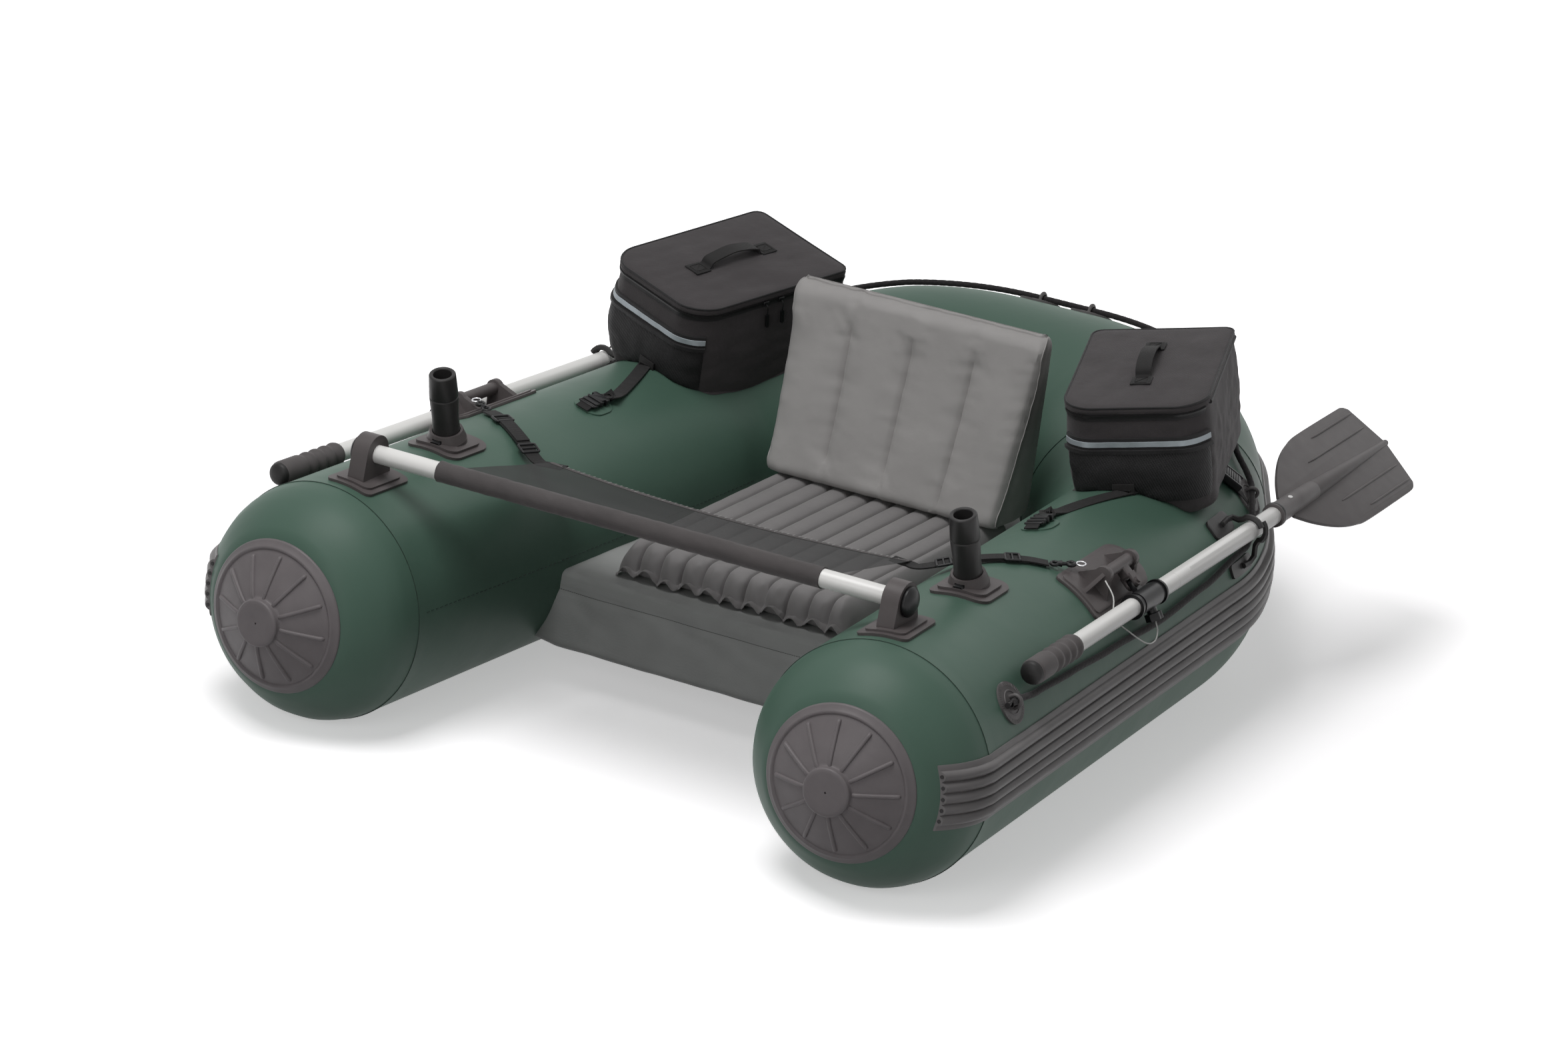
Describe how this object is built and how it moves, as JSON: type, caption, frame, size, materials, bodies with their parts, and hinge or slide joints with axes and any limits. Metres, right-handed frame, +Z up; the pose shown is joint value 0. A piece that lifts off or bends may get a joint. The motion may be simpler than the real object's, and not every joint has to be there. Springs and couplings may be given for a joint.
{
  "type": "float tube",
  "caption": "Inflatable one-person fishing float tube with a U-shaped hull, seat and backrest, stripping apron, side bags, rod holders and two rowing oars on pivoting oarlocks.",
  "frame": {"origin": "on the ground, at the middle of the width and of the length without the leashes", "axes": "+X towards the tube that is nearest in the picture, with the lifted strake end; +Y towards the closed stern; +Z up"},
  "size_m": [1.3262, 1.7158, 0.547],
  "materials": {
    "apron": "mesh and webbing",
    "backrest": "coated fabric",
    "crossbar": "white coat, satin",
    "grab_line": "cord",
    "left_apron_strap": "mesh and webbing",
    "left_bag_body": "woven nylon",
    "left_bag_buckle": "moulded",
    "left_bag_lid": "woven nylon",
    "left_bar_eyelet": "moulded",
    "left_bar_plug": "moulded",
    "left_clamp_knob": "moulded",
    "left_end_cap": "moulded, satin",
    "left_front_ring": "moulded rubber",
    "left_knob_leash": "white cord",
    "left_lower_keeper": "moulded rubber",
    "left_oar_blade": "moulded, satin",
    "left_oar_clamp": "moulded",
    "left_oar_grip": "soft grip",
    "left_oar_shaft": "white coat, satin",
    "left_oarlock_base": "moulded",
    "left_oarlock_pivot": "moulded",
    "left_pontoon": "welded coated fabric, satin",
    "left_quarter_ring": "moulded rubber",
    "left_release_button": "moulded",
    "left_rod_flange": "moulded",
    "left_rod_holder": "moulded",
    "left_snap_hook": "moulded",
    "left_stern_ring": "moulded rubber",
    "left_upper_keeper": "moulded rubber",
    "left_valve_cap": "moulded",
    "right_apron_strap": "mesh and webbing",
    "right_bag_body": "woven nylon",
    "right_bag_buckle": "moulded",
    "right_bag_lid": "woven nylon",
    "right_bar_eyelet": "moulded",
    "right_bar_plug": "moulded",
    "right_clamp_knob": "moulded",
    "right_end_cap": "moulded, satin",
    "right_front_ring": "moulded rubber",
    "right_knob_leash": "white cord",
    "right_lower_keeper": "moulded rubber",
    "right_oar_blade": "moulded, satin",
    "right_oar_clamp": "moulded",
    "right_oar_grip": "soft grip",
    "right_oar_shaft": "white coat, satin",
    "right_oarlock_base": "moulded",
    "right_oarlock_pivot": "moulded",
    "right_pontoon": "welded coated fabric, satin",
    "right_quarter_ring": "moulded rubber",
    "right_release_button": "moulded",
    "right_rod_flange": "moulded",
    "right_rod_holder": "moulded",
    "right_snap_hook": "moulded",
    "right_stern_ring": "moulded rubber",
    "right_upper_keeper": "moulded rubber",
    "right_valve_cap": "moulded",
    "rub_strake": "matte ribbed",
    "seat_base": "coated fabric, satin",
    "seat_cushion": "coated fabric with channels",
    "stern_tube": "welded coated fabric, satin"
  },
  "bodies": {
    "hull": {"apron": "apron", "crossbar": "crossbar", "grab_line": "grab_line", "left_apron_strap": "left_apron_strap", "left_bag_body": "left_bag_body", "left_bag_buckle": "left_bag_buckle", "left_bar_eyelet": "left_bar_eyelet", "left_bar_plug": "left_bar_plug", "left_end_cap": "left_end_cap", "left_front_ring": "left_front_ring", "left_knob_leash": "left_knob_leash", "left_lower_keeper": "left_lower_keeper", "left_oarlock_base": "left_oarlock_base", "left_pontoon": "left_pontoon", "left_quarter_ring": "left_quarter_ring", "left_rod_flange": "left_rod_flange", "left_snap_hook": "left_snap_hook", "left_stern_ring": "left_stern_ring", "left_upper_keeper": "left_upper_keeper", "right_apron_strap": "right_apron_strap", "right_bag_body": "right_bag_body", "right_bag_buckle": "right_bag_buckle", "right_bar_eyelet": "right_bar_eyelet", "right_bar_plug": "right_bar_plug", "right_end_cap": "right_end_cap", "right_front_ring": "right_front_ring", "right_knob_leash": "right_knob_leash", "right_lower_keeper": "right_lower_keeper", "right_oarlock_base": "right_oarlock_base", "right_pontoon": "right_pontoon", "right_quarter_ring": "right_quarter_ring", "right_rod_flange": "right_rod_flange", "right_snap_hook": "right_snap_hook", "right_stern_ring": "right_stern_ring", "right_upper_keeper": "right_upper_keeper", "rub_strake": "rub_strake", "seat_base": "seat_base", "seat_cushion": "seat_cushion", "stern_tube": "stern_tube"},
    "right_rod_holder_body": {"right_rod_holder": "right_rod_holder"},
    "right_button": {"right_release_button": "right_release_button"},
    "right_lock": {"right_oarlock_pivot": "right_oarlock_pivot"},
    "right_oar": {"right_oar_clamp": "right_oar_clamp", "right_oar_shaft": "right_oar_shaft", "right_oar_grip": "right_oar_grip", "right_oar_blade": "right_oar_blade"},
    "right_knob": {"right_clamp_knob": "right_clamp_knob"},
    "right_lid": {"right_bag_lid": "right_bag_lid"},
    "right_valve": {"right_valve_cap": "right_valve_cap"},
    "left_rod_holder_body": {"left_rod_holder": "left_rod_holder"},
    "left_button": {"left_release_button": "left_release_button"},
    "left_lock": {"left_oarlock_pivot": "left_oarlock_pivot"},
    "left_oar": {"left_oar_clamp": "left_oar_clamp", "left_oar_shaft": "left_oar_shaft", "left_oar_grip": "left_oar_grip", "left_oar_blade": "left_oar_blade"},
    "left_knob": {"left_clamp_knob": "left_clamp_knob"},
    "left_lid": {"left_bag_lid": "left_bag_lid"},
    "left_valve": {"left_valve_cap": "left_valve_cap"},
    "backrest_body": {"backrest": "backrest"}
  },
  "joints": [
    {"name": "backrest_fold", "type": "hinge", "parent": "hull", "child": "backrest_body", "pos_m": [0, 0.12665, 0.2378], "axis": [1, 0, 0], "range_deg": [0, 80]},
    {"name": "right_rod_holder_turn", "type": "hinge", "parent": "hull", "child": "right_rod_holder_body", "pos_m": [0.44937, -0.42022, 0.37698], "axis": [-0.0349, -0.2755, 0.9607], "continuous": true},
    {"name": "left_rod_holder_turn", "type": "hinge", "parent": "hull", "child": "left_rod_holder_body", "pos_m": [-0.44937, -0.42022, 0.37698], "axis": [-0.0349, 0.2755, -0.9607], "continuous": true},
    {"name": "right_release_button_press", "type": "slide", "parent": "hull", "child": "right_button", "axis": [0, 0.9613, 0.2756], "range_m": [0, 0.0015], "stiffness_N_per_m": 800, "springref_m": -0.0005},
    {"name": "left_release_button_press", "type": "slide", "parent": "hull", "child": "left_button", "axis": [0, 0.9613, 0.2756], "range_m": [0, 0.0015], "stiffness_N_per_m": 800, "springref_m": -0.0005},
    {"name": "right_oar_lift", "type": "hinge", "parent": "hull", "child": "right_lock", "pos_m": [0.56012, -0.16102, 0.35124], "axis": [-0.0564, 0.9984, 0], "range_deg": [-60, 0], "deforming": ["right_upper_keeper", "right_lower_keeper", "right_knob_leash"]},
    {"name": "left_oar_lift", "type": "hinge", "parent": "hull", "child": "left_lock", "pos_m": [-0.56012, -0.16102, 0.35124], "axis": [-0.0564, -0.9984, 0], "range_deg": [-60, 0], "deforming": ["left_upper_keeper", "left_lower_keeper", "left_knob_leash"]},
    {"name": "right_oar_sweep", "type": "hinge", "parent": "right_lock", "child": "right_oar", "pos_m": [0.58342, -0.15007, 0.32847], "axis": [-0.689, -0.0389, -0.7237], "range_deg": [0, 20], "deforming": ["right_upper_keeper", "right_lower_keeper", "right_knob_leash"]},
    {"name": "left_oar_sweep", "type": "hinge", "parent": "left_lock", "child": "left_oar", "pos_m": [-0.58342, -0.15007, 0.32847], "axis": [-0.689, 0.0389, 0.7237], "range_deg": [0, 20], "deforming": ["left_upper_keeper", "left_lower_keeper", "left_knob_leash"]},
    {"name": "right_clamp_knob_turn", "type": "hinge", "parent": "right_oar", "child": "right_knob", "pos_m": [0.61568, -0.13896, 0.28672], "axis": [0.4686, 0.0171, -0.8832], "continuous": true},
    {"name": "left_clamp_knob_turn", "type": "hinge", "parent": "left_oar", "child": "left_knob", "pos_m": [-0.61568, -0.13896, 0.28672], "axis": [0.4686, -0.0171, 0.8832], "continuous": true},
    {"name": "right_lid_hinge", "type": "hinge", "parent": "hull", "child": "right_lid", "pos_m": [0.4813, 0.3072, 0.52268], "axis": [-0.3156, 0.9431, 0.1045], "range_deg": [0, 110]},
    {"name": "left_lid_hinge", "type": "hinge", "parent": "hull", "child": "left_lid", "pos_m": [-0.4813, 0.3072, 0.52268], "axis": [-0.3156, -0.9431, -0.1045], "range_deg": [0, 110]},
    {"name": "right_valve_cap_turn", "type": "hinge", "parent": "hull", "child": "right_valve", "pos_m": [0.04681, 0.43005, 0.29432], "axis": [-0.0375, -0.9556, 0.2924], "continuous": true},
    {"name": "left_valve_cap_turn", "type": "hinge", "parent": "hull", "child": "left_valve", "pos_m": [-0.04681, 0.43005, 0.29432], "axis": [-0.0375, 0.9556, -0.2924], "continuous": true}
  ]
}
